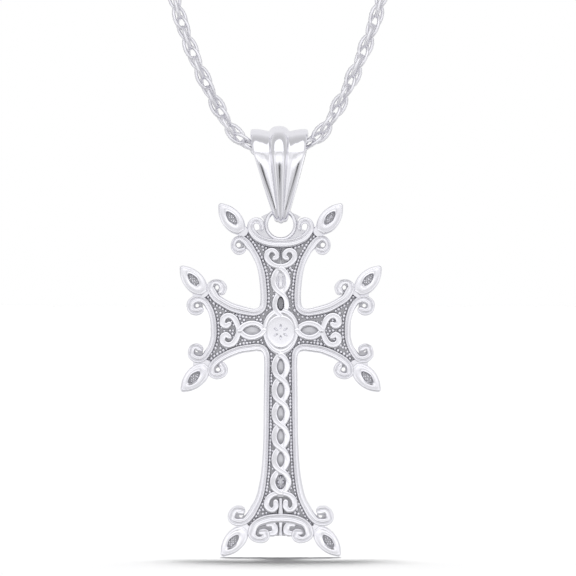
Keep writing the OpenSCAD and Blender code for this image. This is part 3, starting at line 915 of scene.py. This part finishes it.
bail = {
    "bore": 1.6,            # inner radius at the chain
    "seat": 0.62,           # inner radius at the lower bend
    "seatUp": -5.52,
    "turn": -2,
    "lean": 1.1,            # to the left, in degrees
    "shift": -0.1,          # of its middle, to the left
    "eyeRing": 1.5,         # radius of the bar that it holds
    "along": 150,           # sections
    "paintedUnderShade": 0.6,          # painted shade on the underside of the lower bend
    "paintedUnderShadeFrom": 0.75,     # 1 where a face looks straight down, and how much more until it is full
    "paintedUnderShadeOver": 0.2,
    # height, half width
    "widths": [[-9, 0.72], [-6.6, 0.74], [-6.35, 0.78], [-3.3, 1.68], [0, 2.6], [1.4, 2.82], [2.3, 2.9],
               [4, 2.9]],
    # share of the half width, thickness at the top, thickness at the lower bend
    "flutes": [[0, 1.05, 1.01], [0.08, 1.04, 1.0], [0.16, 1.0, 0.98], [0.24, 0.89, 0.95],
               [0.3, 0.74, 0.92], [0.34, 0.6, 0.89], [0.37, 0.54, 0.87], [0.41, 0.56, 0.87],
               [0.48, 0.61, 0.88], [0.56, 0.66, 0.87], [0.65, 0.7, 0.85], [0.74, 0.735, 0.8],
               [0.84, 0.75, 0.72], [0.92, 0.735, 0.6], [0.975, 0.67, 0.46], [1, 0.5, 0.32]],
    # how far the flanks swell out, by height
    "swell": [[-7, 0], [-6, -0.03], [-5, 0.03], [-4, 0.09], [-3, 0.135], [-2, 0.16], [-1.2, 0.165],
              [-0.6, 0.14], [0, 0.07], [0.7, 0], [4, 0]],
    "low": 6.2,             # way down until the lower bend's thickness is full
    "sharp": 38,            # degrees between faces that meet in an edge
    "innerShare": 0.97,     # of the half width that its smooth inside has
    "rollOver": 0.07,       # of the inside's edges
}


# inner outline of the bail in side view, depth and height, from its top round the front
def bailOutline():
    bore, seat, seatUp = bail["bore"], bail["seat"], bail["seatUp"]
    lean = math.asin((bore - seat) / -seatUp)

    def arc(first, last, count, radius, up):
        turns = np.linspace(first, last, count)
        return np.column_stack([radius * np.cos(turns), up + radius * np.sin(turns)])

    front = arc(math.pi / 2, math.pi + lean, 40, bore, 0)
    bend = arc(math.pi + lean, 2 * math.pi - lean, 30, seat, seatUp)
    loop = np.vstack([front, bend, arc(-lean, math.pi / 2, 40, bore, 0)[:-1], front[:1]])
    steps = np.concatenate([[0], np.cumsum(np.linalg.norm(np.diff(loop, axis=0), axis=1))])
    even = np.linspace(0, steps[-1], bail["along"], endpoint=False)
    return np.column_stack([np.interp(even, steps, column) for column in loop.T])


def buildBail():
    outline = bailOutline()
    flow = np.roll(outline, -1, axis=0) - np.roll(outline, 1, axis=0)
    flow /= np.linalg.norm(flow, axis=1)[:, None]
    outward = np.column_stack([flow[:, 1], -flow[:, 0]])
    widths = np.array(bail["widths"]).T
    swells = smoothRows(bail["swell"], 0.1).T
    shares = smoothRows(bail["flutes"], 0.028)
    outer = np.vstack([(shares * [-1, 1, 1])[::-1], shares[1:]])
    edge, ring = bail["innerShare"], bail["eyeRing"]
    inner = np.linspace(edge, -edge, 25)
    count = len(outer) + len(inner)
    points, paintedUnderShade = [], []
    for (depth, up), (outDepth, outUp) in zip(outline, outward):
        low = np.clip(-up / bail["low"], 0, 1) ** 2
        under = max(0, -outUp) ** 2 if up < -5 else 0
        # painted shade: the bail's faces that look down at the lower bend get the patina colour
        paintedUnderShade += [bail["paintedUnderShade"] * np.clip((under - bail["paintedUnderShadeFrom"]) / bail["paintedUnderShadeOver"], 0, 1)] * count
        for share, topThick, lowThick in outer:
            thick = topThick + (lowThick - topThick) * low + np.interp(up, *swells)
            reach = up + outUp * thick
            points.append([share * np.interp(reach, *widths), depth + outDepth * thick, reach])
        for share in inner:
            across = share * np.interp(up + outUp * 0.2, *widths)
            crown = (ring - math.sqrt(ring ** 2 - min(abs(across), 1.2) ** 2)) * under
            crown += bail["rollOver"] * (abs(share) / edge) ** 8
            points.append([across, depth + outDepth * crown, up + outUp * crown])
    x, y, z = np.array(points).T
    cosine, sine = directionOf(bail["turn"])
    across = x * cosine - y * sine + bail["shift"] - z * directionOf(bail["lean"])[1]
    placed = np.column_stack([across, x * sine + y * cosine, z]) * mm + hang
    mesh = makeMesh("bailStrap", placed, ringFaces(len(outline), count, closed=True))
    setValues(mesh, "sunk", paintedUnderShade)
    mesh.set_sharp_from_angle(angle=math.radians(bail["sharp"]))
    mesh.materials.append(silverFinish("bailSilver", roughness=0.1, grain=0.5))
    return makeObject("bailStrap", mesh)


bailStrap = buildBail()
print("bail:", len(bailStrap.data.polygons), "faces")

chain = {
    "linkLength": 2.35,     # between the middles of the wire
    "linkWidth": 1.25,
    "wire": 0.185,          # radius
    "pitch": 1.08,
    "turnEach": 61.5,       # of each link round the route, in degrees
    "firstTurn": 48,
    "linkSteps": 14, "wireSteps": 5,
    "shift": -0.28,         # of its lower part, to the left
    "shiftFrom": -60,       # height where that starts, and the way down until it is full
    "shiftOver": 60,
    "jumpRing": 0.55,
    "jumpWire": 0.12,
    "claspEye": 5.05,       # jump ring's middle from the clasp's middle
}
# half of the route, from its lowest point to the clasp, in millimetres
routeHalf = [
    (0, -120, -165), (-1.5, -120, -164.85), (-2.9, -120, -164.2), (-4.05, -120, -163.35),
    (-5.05, -120, -162.1), (-6.3, -120, -159.9), (-7.55, -120, -157.3), (-8.7, -119.8, -154.6),
    (-9.8, -119.5, -151.5), (-10.7, -119.1, -148.3), (-13, -117.8, -140), (-15.4, -116, -131.5),
    (-17.9, -113.8, -123), (-20.5, -111.2, -114.5), (-23.2, -108, -106), (-26.1, -104.2, -97.6),
    (-29.1, -99.8, -89.4), (-32.2, -94.6, -81.5), (-35.5, -88.8, -74), (-38.8, -82.2, -67),
    (-42, -75, -60.5), (-45, -67, -54.5), (-47.6, -58.5, -49), (-49.5, -49.5, -43.5),
    (-50.2, -40, -38.2), (-49.2, -31, -32.8), (-46.6, -22.8, -27.2), (-42.4, -15.8, -21.6),
    (-37, -10, -16), (-30.5, -5.6, -10.8), (-23.2, -2.6, -6.4), (-15.2, -0.8, -2.8),
    (-8.7, -0.1, -0.7), (-5.4, 0, 0),
]


# sets oval links one after another on a curve, each turned on from the one before
def chainGrowth(material):
    inputs = {label: chain[label] * mm for label in ("pitch", "wire", "linkLength", "linkWidth")}
    inputs.update({label: math.radians(chain[label]) for label in ("turnEach", "firstTurn")})
    grow = Growth("linkedChain", inputs)
    circle = grow.add("GeometryNodeCurvePrimitiveCircle", {}, {
        "Resolution": chain["linkSteps"], "Radius": 1})
    shape = grow.add("ShaderNodeCombineXYZ", {}, {
        "X": grow.given("linkWidth") * 0.5, "Y": grow.given("linkLength") * 0.5})
    oval = grow.add("GeometryNodeTransform", {}, {"Geometry": circle, "Scale": shape})
    upright = grow.add("GeometryNodeTransform", {}, {"Geometry": oval, "Rotation": (math.pi / 2, 0, 0)})
    wire = grow.add("GeometryNodeCurvePrimitiveCircle", {}, {
        "Resolution": chain["wireSteps"], "Radius": grow.given("wire")})
    link = grow.add("GeometryNodeCurveToMesh", {}, {"Curve": upright, "Profile Curve": wire})
    link = grow.add("GeometryNodeSetShadeSmooth", {}, {"Geometry": link})
    stations = grow.add("GeometryNodeCurveToPoints", {"mode": "LENGTH"}, {
        "Curve": grow.given("Geometry"), "Length": grow.given("pitch")})
    spiral = grow.add("GeometryNodeInputIndex") * grow.given("turnEach") + grow.given("firstTurn")
    twist = grow.add("FunctionNodeAxisAngleToRotation", {}, {"Axis": (0, 0, 1), "Angle": spiral})
    turned = grow.add("FunctionNodeRotateRotation", {"rotation_space": "LOCAL"}, {
        "Rotation": stations.output("Rotation"), "Rotate By": twist})
    grow.close(material, {"Points": stations, "Instance": link, "Rotation": turned})
    return grow


def buildChain(material):
    route = bothHalves(routeHalf)
    down = (chain["shiftFrom"] - route[:, 2]) / chain["shiftOver"]
    route[:, 0] += chain["shift"] * np.clip(down, 0, 1)
    line = smoothRows(route, 0.4, measured=3, cuts=12)
    curve = bpy.data.curves.new("chainRoute", "CURVE")
    curve.dimensions = "3D"
    spline = curve.splines.new("POLY")
    spline.points.add(len(line) - 1)
    spline.points.foreach_set("co", np.column_stack([line * mm, np.ones(len(line))]).ravel())
    return grown("chainLinks", makeObject("chainRoute", curve), chainGrowth(material))


def buildJumpRings(material):
    ring, ringQuads = torusSolid(chain["jumpRing"], chain["jumpWire"], 28, 8)
    points, faces = [], []
    for side in (-1, 1):
        faces += [tuple(len(points) + k for k in face) for face in ringQuads]
        points += [Vector((side * chain["claspEye"] + x, y, z)) * mm for x, y, z in ring]
    mesh = makeMesh("jumpRings", points, faces)
    mesh.materials.append(material)
    return makeObject("jumpRings", mesh)


chainSilver = silverFinish("chainSilver", roughness=0.24, grain=0.5)
chainLinks = buildChain(chainSilver)
jumpRings = buildJumpRings(chainSilver)
print("chain:", len(chainLinks.data.polygons), "faces")
claspNode = frame["nodes"]["clasp"]
claspNode.data.materials.clear()
claspNode.data.materials.append(silverFinish("claspSilver", roughness=0.12))

# the stage: a white table, soft lamps over it and a bright studio round it
studio = {
    "middle": (0.00073, -0.17856),  # of the picture: across and up
    "span": 0.0576,         # of the picture, at the pendant
    "distance": 0.45,
    "sensor": 36,
    "floor": -0.2055,
    "floorSize": 6,         # half of its side
    "lampPower": 3.6,       # watts a square metre, from above
    "lampSpread": 18,       # of each lamp, in degrees
    "lampTilt": 16.5,       # to the back, in degrees
    "lampTurns": [-5, 0, 5],    # to the sides, in degrees
    "lampShares": [0.3, 0.4, 0.3],
    "ambient": 0.05,        # what the room adds on the table
}
# brightness of what the metal mirrors
room = {
    "front": 0.965, "under": 0.62, "strip": 0.03, "behind": 0.58, "back": 0.88,
    # what is added to these or taken from them
    "window": 0.27, "low": 0.3, "bar": 0.24, "sides": 0.22, "stripes": 0.12, "underSides": 0.3,
    "behindRise": 0.32,
    "tint": (0.985, 0.985, 1.0),
}


def buildFloor():
    mesh = bpy.data.meshes.new("table")
    size = studio["floorSize"]
    corners = [(x * size, y * size, studio["floor"]) for x, y in ((-1, -1), (1, -1), (1, 1), (-1, 1))]
    mesh.from_pydata(corners, [], [(0, 1, 2, 3)])
    f = Finish("whiteTable")
    place = f.add("ShaderNodeTexCoord", out="Object")
    tone = f.add("ShaderNodeTexNoise", {}, {"Vector": place, "Scale": 9.0})
    colour = f.blend(tone, (0.9, 0.9, 0.9), (0.92, 0.92, 0.92))
    mesh.materials.append(f.close({"Base Color": colour, "Roughness": 0.9}))
    table = makeObject("table", mesh)
    table.visible_glossy = False


def buildWorld():
    world = bpy.data.worlds.new("studio")
    bpy.context.scene.world = world
    world.use_nodes = True
    f = NodeTree(world.node_tree)
    split = f.add("ShaderNodeSeparateXYZ", {}, {0: f.add("ShaderNodeTexCoord", out="Generated")})
    x, y, z = (split.output(k) for k in range(3))
    smooth = f.smooth
    aside = x * x
    slant = f.add("ShaderNodeMath", {"operation": "ABSOLUTE"}, {0: x})
    # in front, from the ceiling down: dim ceiling, bright window, a bar, bright again, then a dim low part
    ceiling = smooth(z + 1.6 * y + 0.95 * slant, 0, 0.12)
    level = z + aside
    bar = smooth(level, 0.06, 0.1) * (1 - smooth(level, 0.19, 0.25))
    down = 0 - z
    under = smooth(down, 0.24, 0.28)
    sides = smooth(aside, 0.2, 0.55)
    strip = (1 - smooth(aside, 0.003, 0.02)) * under * (1 - smooth(down, 0.37, 0.44))
    stripes = f.add("ShaderNodeMath", {"operation": "SINE"}, {0: x * 22 + 1.2})
    front = room["front"] + room["window"] * smooth(z, 0.2, 0.24) + room["low"] * smooth(down, 0.05, 0.12)
    front = front - room["bar"] * bar - room["sides"] * sides
    front = front + under * (room["under"] + room["stripes"] * stripes + room["underSides"] * sides - front)
    front = front + strip * (room["strip"] - front)
    behind = room["behind"] + room["behindRise"] * smooth(y, -0.45, 0.5)
    glow = front + ceiling * (behind - front)
    glow = glow + smooth(y, 0, 0.4) * (room["back"] - glow)
    seen = f.add("ShaderNodeLightPath", out="Is Camera Ray")
    matt = f.add("ShaderNodeLightPath", out="Is Diffuse Ray")
    light = f.add("ShaderNodeBackground", {}, {
        "Color": (*room["tint"], 1), "Strength": glow * (1 - matt) + studio["ambient"] * matt})
    white = f.add("ShaderNodeBackground", {}, {"Color": (1, 1, 1, 1), "Strength": 1.0})
    mixed = f.add("ShaderNodeMixShader", {}, {0: seen, 1: light, 2: white})
    f.add("ShaderNodeOutputWorld", {}, {"Surface": mixed})


# a row of lamps that together make one wide soft light
def buildLamps():
    for turn, share in zip(studio["lampTurns"], studio["lampShares"]):
        lamp = bpy.data.lights.new("overhead", "SUN")
        lamp.energy = studio["lampPower"] * share
        lamp.angle = math.radians(studio["lampSpread"])
        holder = makeObject("overhead", lamp)
        holder.visible_glossy = False
        holder.rotation_euler = (math.radians(-studio["lampTilt"]), math.radians(turn), 0)


def buildCamera():
    lens = bpy.data.cameras.new("studioCamera")
    lens.sensor_width = studio["sensor"]
    lens.lens = studio["sensor"] * studio["distance"] / studio["span"]
    lens.clip_start = 0.01
    lens.clip_end = 50
    camera = makeObject("studioCamera", lens)
    across, up = studio["middle"]
    camera.location = (across, hang.y - studio["distance"], up)
    camera.rotation_euler = (math.pi / 2, 0, 0)
    bpy.context.scene.camera = camera


buildFloor()
buildWorld()
buildLamps()
buildCamera()
bpy.context.scene.view_settings.view_transform = "Standard"
bpy.context.scene.cycles.use_denoising = True
print("stage set")

for piece, body, slotName in ((crossCasting, "cross", "cross_metal"), (crossPebbles, "cross", "cross_metal"),
                              (bailStrap, "bail", "bail_metal"), (chainLinks, "necklace", "chain_metal"),
                              (jumpRings, "necklace", "chain_metal")):
    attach(piece, body)
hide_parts("cross")
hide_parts("bail")
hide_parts("chain")
